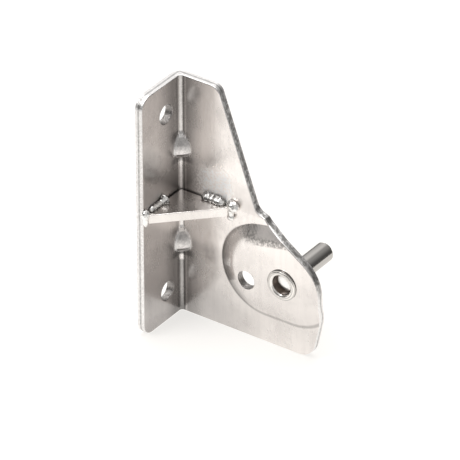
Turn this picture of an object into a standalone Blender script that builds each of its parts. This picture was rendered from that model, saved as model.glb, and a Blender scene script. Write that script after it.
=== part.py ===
"""Refrigerator door hinge bracket: one folded steel sheet with a raised pad, a gusset
plate welded across the fold, and a riveted hinge pin behind the pad.

Sizes are in metres. The shapes are drawn from the inside corner of the fold at the
bracket's foot: X runs along the plate, -Y along the flange, Z up the fold. The plate's
front face is y = 0 and the flange's inner face is x = 0. The finished part has its origin
on the flange's outer face, midway between the two bolt holes.
"""

import math

import bmesh
import bpy
import numpy as np
from mathutils import Vector
from mathutils.geometry import delaunay_2d_cdt

# Folded sheet
SHEET = 0.0040
BRACKET_HEIGHT = 0.1250
BEND_RADIUS = 0.0015
EDGE_ROUNDING = 0.00035

# Mounting flange
FLANGE_WIDTH = 0.0290
FLANGE_CORNER_RADIUS = 0.0060
BOLT_HOLE_DIAMETER = 0.0096
BOLT_HOLE_OFFSET = 0.0108
BOLT_HOLE_MARGIN = 0.0156

# Plate outline, as corners rounded by a radius
PLATE_TOP_WIDTH = 0.0204
PLATE_TOP_RADIUS = 0.0052
SHOULDER_REACH = 0.0412
SHOULDER_HEIGHT = 0.0669
SHOULDER_RADIUS = 0.0112
TRIM_STEP_RUN = 0.0050
TRIM_STEP_DROP = 0.0018
TRIM_STEP_RADIUS = 0.0008
TRIM_RUN = 0.0070
TRIM_DROP = 0.0042
TRIM_RADIUS = 0.0030
BROW_REACH = 0.0597
BROW_HEIGHT = 0.0567
BROW_RADIUS = 0.0300
PLATE_REACH = 0.0771
NOSE_HEIGHT = 0.0446
NOSE_RADIUS = 0.0200
WAIST_HEIGHT = 0.0238
WAIST_RADIUS = 0.0190
HEEL_REACH = 0.0721
HEEL_RADIUS = 0.0088

# Raised pad: the outline that wraps two circles
PAD_HEIGHT = 0.0028
PAD_WALL_WIDTH = 0.0094
PAD_RIM_RADIUS = 0.0006
PAD_SHOULDER_RADIUS = 0.0116
PAD_INNER_REACH = 0.0465
PAD_INNER_HEIGHT = 0.0378
PAD_INNER_RADIUS = 0.0238
PAD_OUTER_REACH = 0.0612
PAD_OUTER_HEIGHT = 0.0394
PAD_OUTER_RADIUS = 0.0253

# Stiffening darts pressed into the fold
DART_REACH = 0.0058
DART_RISE = 0.0102
DART_DROP = 0.0044
DART_BELL = 2.5
DART_NOSE = 2.0
DART_HEIGHTS = (0.0358, 0.0858)
DART_CROWN = 0.0006
DART_BLEND = 0.0004
DENT_SHARE = 0.88

# Pin holes through the pad
TENON_HOLE_DIAMETER = 0.0110
SPARE_HOLE_DIAMETER = 0.0090
SPARE_HOLE_REACH = 0.0379
SPARE_HOLE_HEIGHT = 0.0312

# Hinge pin, with a hollow tenon flared over the pad
PIN_REACH = 0.0576
PIN_CENTRE_HEIGHT = 0.0358
PIN_DIAMETER = 0.0098
PIN_LENGTH = 0.0305
PIN_CHAMFER = 0.0009
SEAT_DIAMETER = 0.0150
SEAT_THICKNESS = 0.0012
RIVET_DIAMETER = 0.0154
RIVET_COLLAR = 0.0003
RIVET_HEAD_DIAMETER = 0.0142
RIVET_HEIGHT = 0.0008
RIVET_CROWN_DIAMETER = 0.0124
RECESS_DIAMETER = 0.0096
RECESS_DEPTH = 0.0038
FLARE_DEPTH = 0.0002

# Gusset plate
GUSSET_THICKNESS = 0.0045
GUSSET_HEIGHT = 0.0632
GUSSET_LEG = 0.0274
GUSSET_END_CUT = 0.0021
GUSSET_RELIEF = 0.0012
GUSSET_EDGE_ROUNDING = 0.0003

# Weld metal
PLATE_BEAD_START = 0.0126
PLATE_BEAD_LEG = 0.0030
PLATE_POOL_SHARE = 0.10
FLANGE_BEAD_START = 0.0128
FLANGE_BEAD_LEG = 0.0019
FLANGE_POOL_SHARE = 1.05
WELD_RIPPLE_SHARE = 0.025
WELD_PITCH = 0.0024
WELD_WAVE_PITCH = 0.0067
WELD_POOL_REACH = 0.0016
CORNER_LUMP = 0.0056
CORNER_TOE = 0.0034
CORNER_LUMP_RISE = 0.0012

CLEARANCE = 0.0003
ARC_STEP = math.radians(7.5)
ROUND_SEGMENTS = 48
PIN_SEGMENTS = 64
CUT_MARGIN = 0.0020

GUSSET_TOP = GUSSET_HEIGHT + GUSSET_THICKNESS / 2
PAD_FACE = -PAD_HEIGHT


def clear_scene():
    """Start from an empty scene."""
    for item in list(bpy.data.objects):
        bpy.data.objects.remove(item, do_unlink=True)


def make_material(name, colour, roughness, metallic=1.0):
    """A Principled material."""
    material = bpy.data.materials.new(name)
    material.use_nodes = True
    shader = material.node_tree.nodes["Principled BSDF"]
    shader.inputs["Base Color"].default_value = (*colour, 1.0)
    shader.inputs["Roughness"].default_value = roughness
    shader.inputs["Metallic"].default_value = metallic
    material.diffuse_color = (*colour, 1.0)
    return material


def add_object(name, mesh, material, parent, smooth_angle=None):
    """Link a mesh as a named sub-part, with its material, under the fold's frame."""
    item = bpy.data.objects.new(name, mesh)
    bpy.context.collection.objects.link(item)
    item.parent = parent
    if material:
        mesh.materials.append(material)
    if smooth_angle is not None:
        mesh.shade_smooth()
        mesh.set_sharp_from_angle(angle=smooth_angle)
    return item


def mesh_from_bmesh(name, form):
    """Turn a bmesh into a mesh with its faces pointing outwards."""
    bmesh.ops.recalc_face_normals(form, faces=form.faces)
    mesh = bpy.data.meshes.new(name)
    form.to_mesh(mesh)
    form.free()
    return mesh


def make_tool(name, mesh, parent):
    """A cutter or an added form: it shapes another piece and isn't one itself."""
    tool = add_object(name, mesh, None, parent)
    tool.hide_render = True
    tool.display_type = "WIRE"
    return tool


def combine(target, tool, operation):
    """Join a tool to a piece, or cut it away."""
    step = target.modifiers.new(f"{operation.lower()}_{tool.name}", "BOOLEAN")
    step.operation = operation
    step.solver = "EXACT"
    step.object = tool


def arc(centre, radius, start, sweep, step=ARC_STEP):
    """Points along an arc, both ends included."""
    count = max(1, math.ceil(abs(sweep) / step))
    angles = (start + sweep * k / count for k in range(count + 1))
    return [Vector((centre[0] + radius * math.cos(a), centre[1] + radius * math.sin(a))) for a in angles]


def circle(centre, radius, count=ROUND_SEGMENTS):
    """Points round a circle, counter-clockwise."""
    return arc(centre, radius, 0.0, math.tau, math.tau / count)[:-1]


def rounded_outline(corners):
    """Round each corner (x, y, radius) of a closed outline, within the sides beside it."""
    outline = []
    for index, (x, y, radius) in enumerate(corners):
        corner = Vector((x, y))
        to_last = Vector(corners[index - 1][:2]) - corner
        to_next = Vector(corners[(index + 1) % len(corners)][:2]) - corner
        if radius <= 0:
            outline.append(corner)
            continue
        half = to_last.angle(to_next) / 2
        setback = min(radius / math.tan(half), 0.49 * to_last.length, 0.98 * to_next.length)
        radius = setback * math.tan(half)
        start = corner + to_last.normalized() * setback
        end = corner + to_next.normalized() * setback
        bisector = (to_last.normalized() + to_next.normalized()).normalized()
        centre = corner + bisector * radius / math.sin(half)
        first = start - centre
        last = end - centre
        sweep = math.atan2(first.x * last.y - first.y * last.x, first.dot(last))
        outline += arc(centre, radius, math.atan2(first.y, first.x), sweep)
    return outline


def inset_outline(outline, distance):
    """The outline moved inwards by a distance, corner by corner."""
    moved = []
    for index, point in enumerate(outline):
        before = (point - outline[index - 1]).normalized()
        after = (outline[(index + 1) % len(outline)] - point).normalized()
        inward = Vector((-before.y - after.y, before.x + after.x)).normalized()
        moved.append(point + inward * distance / inward.dot(Vector((-before.y, before.x))))
    return moved


def blank_outline():
    """The flat blank: the flange to the left of the fold, the plate to its right."""
    trim_step = (SHOULDER_REACH + TRIM_STEP_RUN, SHOULDER_HEIGHT - TRIM_STEP_DROP)
    trim_foot = (SHOULDER_REACH + TRIM_RUN, SHOULDER_HEIGHT - TRIM_DROP)
    return rounded_outline([
        (-FLANGE_WIDTH, 0.0, FLANGE_CORNER_RADIUS),
        (HEEL_REACH, 0.0, HEEL_RADIUS),
        (PLATE_REACH, WAIST_HEIGHT, WAIST_RADIUS),
        (PLATE_REACH, NOSE_HEIGHT, NOSE_RADIUS),
        (BROW_REACH, BROW_HEIGHT, BROW_RADIUS),
        (*trim_foot, TRIM_RADIUS),
        (*trim_step, TRIM_STEP_RADIUS),
        (SHOULDER_REACH, SHOULDER_HEIGHT, SHOULDER_RADIUS),
        (PLATE_TOP_WIDTH, BRACKET_HEIGHT, PLATE_TOP_RADIUS),
        (-FLANGE_WIDTH, BRACKET_HEIGHT, FLANGE_CORNER_RADIUS),
    ])


def blank_holes():
    """Centre and radius of each hole in the blank."""
    bolt = BOLT_HOLE_DIAMETER / 2
    return [
        ((-BOLT_HOLE_OFFSET, BOLT_HOLE_MARGIN), bolt),
        ((-BOLT_HOLE_OFFSET, BRACKET_HEIGHT - BOLT_HOLE_MARGIN), bolt),
        ((SPARE_HOLE_REACH, SPARE_HOLE_HEIGHT), SPARE_HOLE_DIAMETER / 2),
        ((PIN_REACH, PIN_CENTRE_HEIGHT), TENON_HOLE_DIAMETER / 2),
    ]


def pad_ring(inset):
    """The pad's outline moved inwards: two arcs and the two straight runs between them."""
    inner = Vector((PAD_INNER_REACH, PAD_INNER_HEIGHT))
    outer = Vector((PAD_OUTER_REACH, PAD_OUTER_HEIGHT))
    axis = outer - inner
    heading = math.atan2(axis.y, axis.x)
    spread = math.acos((PAD_INNER_RADIUS - PAD_OUTER_RADIUS) / axis.length)
    far_arc = arc(outer, PAD_OUTER_RADIUS - inset, heading - spread, 2 * spread)
    near_arc = arc(inner, PAD_INNER_RADIUS - inset, heading + spread, math.tau - 2 * spread)
    return far_arc + near_arc


def inside_pad(x, z):
    """How far a point lies inside the pad's outline; negative outside it."""
    inner = Vector((PAD_INNER_REACH, PAD_INNER_HEIGHT))
    axis = Vector((PAD_OUTER_REACH, PAD_OUTER_HEIGHT)) - inner
    offset = Vector((x, z)) - inner
    along = offset.dot(axis.normalized())
    across = math.sqrt(max(0.0, offset.length_squared - along ** 2))
    growth = (PAD_OUTER_RADIUS - PAD_INNER_RADIUS) / axis.length
    nearest = along + across * growth / math.sqrt(1 - growth ** 2)
    nearest = min(max(nearest, 0.0), axis.length)
    return PAD_INNER_RADIUS + growth * nearest - math.hypot(along - nearest, across)


def pad_shoulder():
    """Radius of the pad's shoulder, no more than the wall's width and height leave room for."""
    room = (PAD_WALL_WIDTH ** 2 + PAD_HEIGHT ** 2) / (2 * PAD_HEIGHT)
    return min(PAD_SHOULDER_RADIUS, 0.98 * room - PAD_RIM_RADIUS)


def pad_wall_angle():
    """Slope of the pad's wall, tangent to the radii at its rim and its shoulder."""
    radii = PAD_RIM_RADIUS + pad_shoulder()
    lift = radii - PAD_HEIGHT
    return math.atan2(PAD_WALL_WIDTH, lift) - math.acos(radii / math.hypot(PAD_WALL_WIDTH, lift))


def pad_rise(depth):
    """Height of the pad's surface at a distance inside its outline."""
    slope = pad_wall_angle()
    shoulder = pad_shoulder()
    rim_run = PAD_RIM_RADIUS * math.sin(slope)
    shoulder_run = shoulder * math.sin(slope)
    if depth <= 0:
        return 0.0
    if depth < rim_run:
        return PAD_RIM_RADIUS - math.sqrt(PAD_RIM_RADIUS ** 2 - depth ** 2)
    left = PAD_WALL_WIDTH - depth
    if left <= 0:
        return PAD_HEIGHT
    if left < shoulder_run:
        return PAD_HEIGHT - shoulder + math.sqrt(shoulder ** 2 - left ** 2)
    return PAD_RIM_RADIUS * (1 - math.cos(slope)) + (depth - rim_run) * math.tan(slope)


def pad_insets(shoulder_steps=6):
    """Distances inside the pad's outline at which its surface needs a ring."""
    slope = pad_wall_angle()
    rim_run = PAD_RIM_RADIUS * math.sin(slope)
    shoulder = [
        PAD_WALL_WIDTH - pad_shoulder() * math.sin(slope * k / shoulder_steps)
        for k in range(shoulder_steps, -1, -1)
    ]
    middle = (rim_run + shoulder[0]) / 2
    return [0.0, rim_run * 0.5, rim_run, middle] + shoulder


def distance_to_loop(point, loop):
    """Shortest distance from a point to a closed outline."""
    start = np.array([p[:] for p in loop])
    side = np.roll(start, -1, axis=0) - start
    offset = np.array(point) - start
    share = np.clip((offset * side).sum(axis=1) / (side ** 2).sum(axis=1), 0, 1)
    return float(np.hypot(*(offset - side * share[:, None]).T).min())


def edge_drop(distance):
    """How far a rounded edge falls below the sheet's face, at a distance from the edge."""
    left = EDGE_ROUNDING - distance
    if left <= 0:
        return 0.0
    return EDGE_ROUNDING - math.sqrt(max(0.0, EDGE_ROUNDING ** 2 - left ** 2))


def fold(s, z, depth):
    """Fold the blank: a point at s along the inner face, sunk into the sheet by a depth."""
    if s >= BEND_RADIUS:
        return Vector((s, depth, z))
    if s <= -BEND_RADIUS:
        return Vector((-depth, s, z))
    turn = math.pi / 2 * (s + BEND_RADIUS) / (2 * BEND_RADIUS)
    radius = BEND_RADIUS + depth
    return Vector((BEND_RADIUS - radius * math.cos(turn), -BEND_RADIUS + radius * math.sin(turn), z))


def dart_reach(z):
    """How far the darts reach along each wall at a height: a bell above the ridge, a nose below."""
    reach = 0.0
    for height in DART_HEIGHTS:
        above = max(0.0, z - height) / DART_RISE
        below = max(0.0, height - z) / DART_DROP
        reach = max(reach, DART_REACH * (1 - above ** DART_BELL - below ** DART_NOSE))
    return reach


def dart_push(s, z):
    """How far the sheet is pressed inwards across the corner."""
    reach = dart_reach(z)
    if reach <= 0:
        return 0.0
    inner = fold(s, z, 0.0)
    across_corner = (inner.x - inner.y) / math.sqrt(2)
    crown = DART_CROWN * reach / DART_REACH * max(0.0, 1 - (s / reach) ** 2)
    over = reach / math.sqrt(2) + crown - across_corner
    if over >= DART_BLEND:
        return over
    return max(0.0, over + DART_BLEND) ** 2 / (4 * DART_BLEND)


def press_dart(point, push):
    """Move a point of the folded sheet diagonally out of the corner."""
    return point + Vector((push, -push, 0.0)) / math.sqrt(2)


def dart_rows(height, rise_steps=8, drop_steps=6):
    """Heights at which the blank needs points to shape a dart, from its foot to its top."""
    below = [height - DART_DROP * math.sin(math.pi / 2 * k / drop_steps) for k in range(drop_steps, 0, -1)]
    above = [height + DART_RISE * k / rise_steps for k in range(rise_steps + 1)]
    return below + above


def dart_points(height, fold_lines):
    """Points of the blank inside a dart: along the fold lines, and along its own outline."""
    points = []
    for z in dart_rows(height):
        reach = dart_reach(z)
        spread = DART_BLEND * math.sqrt(2)
        sides = [reach + spread, reach, reach - spread, reach * 0.6]
        clear = [side for side in sides if side > BEND_RADIUS + spread / 2]
        points += [Vector((s, z)) for s in fold_lines + clear + [-side for side in clear]]
    return points


def dart_margin(height):
    """A rectangle round a dart in the flat blank, so that no long face ends at the dart."""
    side = DART_REACH + BEND_RADIUS
    low, high = height - DART_DROP * 1.2, height + DART_RISE * 1.1
    return [Vector((-side, low)), Vector((side, low)), Vector((side, high)), Vector((-side, high))]


def blank_triangles(fold_steps=8):
    """Triangles of the flat blank, with points along every edge, ring and fold line."""
    outline = blank_outline()
    holes = blank_holes()
    edge_insets = [EDGE_ROUNDING * share for share in (0.3, 1.0)]
    loops = [outline] + [circle(centre, radius) for centre, radius in holes]
    rims = list(loops)
    loops += [inset_outline(outline, inset) for inset in edge_insets]
    loops += [circle(centre, radius + inset) for centre, radius in holes for inset in edge_insets]
    loops += [pad_ring(inset) for inset in pad_insets()]
    loops += [dart_margin(height) for height in DART_HEIGHTS]

    points, edges, faces = [], [], []
    for loop in loops:
        first = len(points)
        count = len(loop)
        points += loop
        edges += [(first + k, first + (k + 1) % count) for k in range(count)]
        if len(faces) < len(rims):
            faces.append(list(range(first, first + count)))
    fold_lines = [BEND_RADIUS * (2 * k / fold_steps - 1) for k in range(fold_steps + 1)]
    for s in fold_lines:
        points += [Vector((s, -CUT_MARGIN)), Vector((s, BRACKET_HEIGHT + CUT_MARGIN))]
        edges.append((len(points) - 2, len(points) - 1))
    for height in DART_HEIGHTS:
        points += dart_points(height, fold_lines)

    result = delaunay_2d_cdt(points, edges, faces, 1, 1e-6)
    flat_points, triangles, owners = result[0], result[2], result[5]
    kept = [face for face, owner in zip(triangles, owners) if list(owner) == [0]]
    return flat_points, kept, rims


def make_bracket(material, parent):
    """The folded sheet: both faces from the same triangles, joined round every edge."""
    flat_points, triangles, rims = blank_triangles()
    form = bmesh.new()
    front, back = {}, {}
    for index in sorted({index for face in triangles for index in face}):
        s, z = flat_points[index]
        drop = edge_drop(min(distance_to_loop((s, z), rim) for rim in rims))
        rise = pad_rise(inside_pad(s, z))
        push = dart_push(s, z)
        front[index] = form.verts.new(press_dart(fold(s, z, drop - rise), push))
        back[index] = form.verts.new(press_dart(fold(s, z, SHEET - drop - rise), push * DENT_SHARE))

    uses = {}
    for face in triangles:
        form.faces.new([front[index] for index in face])
        form.faces.new([back[index] for index in reversed(face)])
        for side in zip(face, face[1:] + face[:1]):
            uses.setdefault(frozenset(side), []).append(side)
    for sides in uses.values():
        if len(sides) == 1:
            start, end = sides[0]
            form.faces.new([front[end], front[start], back[start], back[end]])

    mesh = mesh_from_bmesh("bracket", form)
    bracket = add_object("bracket", mesh, material, parent, math.radians(35))
    normals = bracket.modifiers.new("flat_panels", "WEIGHTED_NORMAL")
    normals.keep_sharp = True
    return bracket


def turned_mesh(name, profile, segments):
    """Revolve a profile of (radius, height) about Z; it starts and ends on the axis."""
    form = bmesh.new()
    poles = [form.verts.new((0.0, 0.0, profile[index][1])) for index in (0, -1)]
    rings = []
    for radius, height in profile[1:-1]:
        rings.append([form.verts.new((*point, height)) for point in circle((0, 0), radius, segments)])
    for k in range(segments):
        following = (k + 1) % segments
        form.faces.new([poles[0], rings[0][k], rings[0][following]])
        form.faces.new([poles[1], rings[-1][following], rings[-1][k]])
        for ring, beyond in zip(rings, rings[1:]):
            form.faces.new([ring[k], beyond[k], beyond[following], ring[following]])
    return mesh_from_bmesh(name, form)


def quarter(start, end, steps=6):
    """Points (radius, height) on a quarter ellipse: upright at its start, level at its end."""
    outward, upward = end[0] - start[0], end[1] - start[1]
    turns = [math.pi / 2 * k / steps for k in range(steps + 1)]
    return [(end[0] - outward * math.cos(turn), start[1] + upward * math.sin(turn)) for turn in turns]


def pin_profile():
    """The pin from the bottom of its recess, over the flared rivet, its seat and along the shank."""
    tenon = TENON_HOLE_DIAMETER / 2 - CLEARANCE
    recess = RECESS_DIAMETER / 2
    ridge = RIVET_CROWN_DIAMETER / 2
    head = RIVET_HEAD_DIAMETER / 2
    rim = RIVET_DIAMETER / 2
    seat = SEAT_DIAMETER / 2
    shank = PIN_DIAMETER / 2
    front = -CLEARANCE
    collar = front - RIVET_COLLAR
    crown = front - RIVET_HEIGHT
    back = SHEET + CLEARANCE
    shoulder = back + SEAT_THICKNESS
    end = SHEET + PIN_LENGTH
    flare = quarter((recess, FLARE_DEPTH), (ridge, crown))
    dome = list(reversed(quarter((head, collar), (ridge, crown))))
    return (
        [(0.0, RECESS_DEPTH), (recess, RECESS_DEPTH)]
        + flare
        + dome[1:]
        + [
            (rim - RIVET_COLLAR, collar),
            (rim, collar + RIVET_COLLAR / 2),
            (rim, front),
            (tenon, front),
            (tenon, back),
            (seat, back),
            (seat, shoulder),
            (shank, shoulder),
            (shank, end - PIN_CHAMFER),
            (shank - PIN_CHAMFER * 0.3, end - PIN_CHAMFER * 0.35),
            (shank - PIN_CHAMFER, end),
            (0.0, end),
        ]
    )


def make_pin(material, parent):
    """The hinge pin, riveted through the pad and standing out behind it."""
    pin = add_object("hinge_pin", turned_mesh("hinge_pin", pin_profile(), PIN_SEGMENTS),
                     material, parent, math.radians(35))
    pin.location = (PIN_REACH, PAD_FACE, PIN_CENTRE_HEIGHT)
    pin.rotation_euler = (-math.pi / 2, 0.0, 0.0)
    return pin


def gusset_outline(growth=0.0):
    """The gusset from above, drawn in X and -Y, its inner corner cut clear of the fold."""
    gap = CLEARANCE - growth
    leg = GUSSET_LEG + growth
    cut = GUSSET_END_CUT + growth * math.sqrt(2)
    relief = GUSSET_RELIEF
    return [(gap + relief, gap), (leg, gap), (leg, cut), (cut, leg), (gap, leg), (gap, gap + relief)]


def prism_mesh(name, outline, bottom, top, rounding=0.0):
    """An outline given in X and -Y, drawn upwards, with its long edges rounded."""
    form = bmesh.new()
    floor = [form.verts.new((x, -across, bottom)) for x, across in outline]
    roof = [form.verts.new((x, -across, top)) for x, across in outline]
    form.faces.new(floor)
    form.faces.new(list(reversed(roof)))
    for k in range(len(outline)):
        following = (k + 1) % len(outline)
        form.faces.new([floor[following], floor[k], roof[k], roof[following]])
    if rounding:
        bmesh.ops.bevel(form, geom=list(form.edges), offset=rounding, segments=2, profile=0.5, affect="EDGES")
    return mesh_from_bmesh(name, form)


def make_gusset(material, parent):
    """The flat triangular plate across the fold."""
    mesh = prism_mesh("gusset_plate", gusset_outline(), GUSSET_TOP - GUSSET_THICKNESS,
                      GUSSET_TOP, GUSSET_EDGE_ROUNDING)
    return add_object("gusset_plate", mesh, material, parent, math.radians(35))


def bead_leg(position, length, leg, swell):
    """Leg of a fillet weld along its run: shallow uneven pools, the first one the largest."""
    pools = 1 + WELD_RIPPLE_SHARE * math.sin(math.tau * position / WELD_PITCH)
    waves = 1 + WELD_RIPPLE_SHARE * math.sin(math.tau * position / WELD_WAVE_PITCH)
    first_pool = 1 + swell * math.exp(-((position / WELD_POOL_REACH - 1) ** 2))
    nearest_end = min(position, length - position)
    taper = min(1.0, max(0.0, nearest_end / leg))
    return leg * pools * waves * first_pool * (0.25 + 0.75 * math.sqrt(1 - (1 - taper) ** 2))


def make_bead(name, along, outward, run, material, parent, arc_steps=6):
    """A fillet weld in the corner between the gusset's top and a wall."""
    start, leg, swell = run
    length = GUSSET_LEG - GUSSET_END_CUT - CLEARANCE - start
    upward = Vector((0.0, 0.0, 1.0))
    corner = Vector((0.0, 0.0, GUSSET_TOP)) + (outward + upward) * CLEARANCE
    stations = math.ceil(length / WELD_PITCH) * 6
    form = bmesh.new()
    rings = []
    for k in range(stations + 1):
        position = length * k / stations
        width = bead_leg(position, length, leg, swell)
        root = corner + along * (start + position)
        turns = (math.pi / 2 * step / arc_steps for step in range(arc_steps + 1))
        crown = [root + (outward * math.cos(turn) + upward * math.sin(turn)) * width for turn in turns]
        rings.append([form.verts.new(point) for point in [root] + crown])
    sides = len(rings[0])
    for ring, beyond in zip(rings, rings[1:]):
        for k in range(sides):
            following = (k + 1) % sides
            form.faces.new([ring[k], ring[following], beyond[following], beyond[k]])
    form.faces.new(rings[0])
    form.faces.new(rings[-1])
    return add_object(name, mesh_from_bmesh(name, form), material, parent, math.radians(50))


def blob_mesh(name, centre, size, lumps=0.09):
    """An uneven lump of weld metal."""
    form = bmesh.new()
    bmesh.ops.create_icosphere(form, subdivisions=3, radius=0.5)
    for vert in form.verts:
        direction = vert.co.normalized()
        swell = math.sin(7 * direction.x + 2) * math.sin(6 * direction.y + 1) * math.sin(5 * direction.z)
        shape = direction * 0.5 * (1 + lumps * swell)
        vert.co = Vector(centre) + Vector((shape.x * size[0], shape.y * size[1], shape.z * size[2]))
    return mesh_from_bmesh(name, form)


def make_corner_weld(name, lumps, material, parent, cutters):
    """Weld metal round a front corner of the gusset: lumps run together, clear of what they join."""
    weld = add_object(name, blob_mesh(name, *lumps[0]), material, parent, math.radians(50))
    for number, (centre, size) in enumerate(lumps[1:], start=2):
        lump = f"{name}_lump_{number}"
        combine(weld, make_tool(lump, blob_mesh(lump, centre, size), parent), "UNION")
    for cutter in cutters:
        combine(weld, cutter, "DIFFERENCE")
    return weld


def box_outline(x_low, x_high, across_low, across_high):
    """A rectangle in X and -Y."""
    return [(x_low, across_low), (x_high, across_low), (x_high, across_high), (x_low, across_high)]


def make_welds(material, parent):
    """Two beads on the gusset, and the metal round its two front corners."""
    along_plate, along_flange = Vector((1.0, 0.0, 0.0)), Vector((0.0, -1.0, 0.0))
    plate_run = (PLATE_BEAD_START, PLATE_BEAD_LEG, PLATE_POOL_SHARE)
    flange_run = (FLANGE_BEAD_START, FLANGE_BEAD_LEG, FLANGE_POOL_SHARE)
    make_bead("weld_plate_bead", along_plate, along_flange, plate_run, material, parent)
    make_bead("weld_flange_bead", along_flange, along_plate, flange_run, material, parent)

    gusset = make_tool("gusset_clearance", prism_mesh(
        "gusset_clearance", gusset_outline(growth=CLEARANCE), GUSSET_TOP - GUSSET_THICKNESS - CLEARANCE,
        GUSSET_TOP + CLEARANCE), parent)
    flange = make_tool("flange_clearance", prism_mesh(
        "flange_clearance", box_outline(-SHEET - CUT_MARGIN, CLEARANCE, 0.0, FLANGE_WIDTH + CLEARANCE),
        0.0, BRACKET_HEIGHT), parent)
    plate = make_tool("plate_clearance", prism_mesh(
        "plate_clearance", box_outline(0.0, PLATE_REACH, -SHEET - CUT_MARGIN, CLEARANCE),
        0.0, BRACKET_HEIGHT), parent)
    bead_end = GUSSET_LEG - GUSSET_END_CUT
    beads = make_tool("bead_clearance", prism_mesh(
        "bead_clearance", box_outline(-CUT_MARGIN, bead_end, -CUT_MARGIN, bead_end),
        0.0, BRACKET_HEIGHT), parent)

    cutters = (gusset, flange, plate, beads)
    lump, toe = CORNER_LUMP, CORNER_TOE
    head, middle, foot = GUSSET_TOP + CORNER_LUMP_RISE, GUSSET_HEIGHT, GUSSET_TOP - GUSSET_THICKNESS
    make_corner_weld("weld_plate_corner", [
        ((GUSSET_LEG + lump * 0.40, -lump * 0.25, head), (lump * 1.15, lump * 0.85, lump)),
        ((GUSSET_LEG + toe * 0.25, -toe * 0.25, middle), (toe * 0.9, toe * 0.85, GUSSET_THICKNESS + toe)),
        ((GUSSET_LEG + toe * 0.30, -toe * 0.30, foot - toe * 0.15), (toe * 1.05, toe * 0.85, toe)),
    ], material, parent, cutters)
    make_corner_weld("weld_flange_corner", [
        ((lump * 0.16, -GUSSET_LEG - lump * 0.16, GUSSET_TOP), (lump * 0.66, lump * 0.72, lump)),
        ((toe * 0.25, -GUSSET_LEG - toe * 0.25, middle), (toe * 0.8, toe * 0.9, GUSSET_THICKNESS + toe)),
    ], material, parent, cutters)


def main():
    clear_scene()
    fold_frame = bpy.data.objects.new("fold_frame", None)
    bpy.context.collection.objects.link(fold_frame)
    fold_frame.location = (SHEET, BOLT_HOLE_OFFSET, -BRACKET_HEIGHT / 2)

    plated_sheet = make_material("plated_sheet", (0.74, 0.72, 0.70), 0.28)
    plated_gusset = make_material("plated_gusset", (0.70, 0.68, 0.66), 0.32)
    turned_steel = make_material("turned_steel", (0.72, 0.70, 0.68), 0.16)
    weld_metal = make_material("weld_metal", (0.66, 0.64, 0.62), 0.30)

    make_bracket(plated_sheet, fold_frame)
    make_gusset(plated_gusset, fold_frame)
    make_pin(turned_steel, fold_frame)
    make_welds(weld_metal, fold_frame)


main()
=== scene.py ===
"""Looks of the refrigerator door hinge: bright zinc plate on sheet, weld metal and a turned pin,
on a white table, seen into the bracket's inside corner from above."""

import functools
import math
from types import SimpleNamespace

import bpy
from mathutils import Matrix, Vector, noise as lattice


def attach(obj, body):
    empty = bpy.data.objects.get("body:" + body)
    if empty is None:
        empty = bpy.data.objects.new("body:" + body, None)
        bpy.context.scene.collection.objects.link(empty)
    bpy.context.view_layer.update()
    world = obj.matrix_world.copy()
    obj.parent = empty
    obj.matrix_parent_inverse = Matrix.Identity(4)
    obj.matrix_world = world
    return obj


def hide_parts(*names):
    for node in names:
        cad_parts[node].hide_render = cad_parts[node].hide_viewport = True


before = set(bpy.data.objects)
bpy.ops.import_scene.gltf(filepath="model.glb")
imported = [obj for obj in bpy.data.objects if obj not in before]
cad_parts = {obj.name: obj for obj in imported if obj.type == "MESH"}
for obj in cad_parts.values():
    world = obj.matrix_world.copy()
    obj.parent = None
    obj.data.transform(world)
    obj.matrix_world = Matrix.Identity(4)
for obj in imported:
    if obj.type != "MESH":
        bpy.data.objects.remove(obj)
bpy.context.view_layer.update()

# Camera, recovered from the photograph
CAMERA_AZIMUTH = math.radians(35.1146)
CAMERA_ELEVATION = math.radians(32.3096)
CAMERA_ROLL = math.radians(-0.082)
CAMERA_DISTANCE = 2.40331
CAMERA_ASIDE = 0.02216
CAMERA_ABOVE = 0.03615
FOLD_FOOT = Vector((0.004, 0.0108, -0.0625))
LENS = 409.99
SENSOR_WIDTH = 36.0
CLIP_START = 0.1
CLIP_END = 20.0

# Table: grey to light, so that it keeps the object's shadow, and white to camera and glossy rays
TABLE_CENTRE = (0.03, 0.0)
TABLE_HEIGHT = -0.0625
TABLE_GAP = 0.0002
TABLE_RADIUS = 0.34
TABLE_CORNERS = 96
TABLE_COLOUR = (0.44, 0.43, 0.415)
TABLE_ROUGHNESS = 0.9
TABLE_SPECULAR = 0.1
TABLE_GLOW = (1.0, 0.985, 0.962)
TABLE_WHITENESS = 0.67

# Room: dim walls, a ceiling and two bright panels. An edge is where a light starts to change and where it
# has changed, by the direction's height for ceiling and backdrop, and by the cosine from a panel's middle
ROOM_COLOUR = (1.0, 0.99, 0.98)
WALL_STRENGTH = 0.12
CEILING_STRENGTH = 0.60
CEILING_EDGE = (0.15, 0.95)
BACKDROP_EDGE = (-0.22, -0.12)
WINDOW = Vector((0.80, -0.58, 0.16)).normalized()
WINDOW_EDGE = (0.70, 0.98)
WINDOW_STRENGTH = 0.45
BACK_WINDOW = Vector((-0.486, 0.691, 0.534)).normalized()
BACK_WINDOW_EDGE = (0.80, 0.97)
BACK_WINDOW_STRENGTH = 0.60

# Softboxes, turned towards the part's origin: name, place, size and watts
SOFTBOXES = (("ceiling_softbox", (-0.2, 0.2, 1.4), (1.2, 1.2), 11.7),
             ("front_softbox", (-0.7, -1.05, 1.25), (0.9, 0.7), 9.0))

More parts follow.
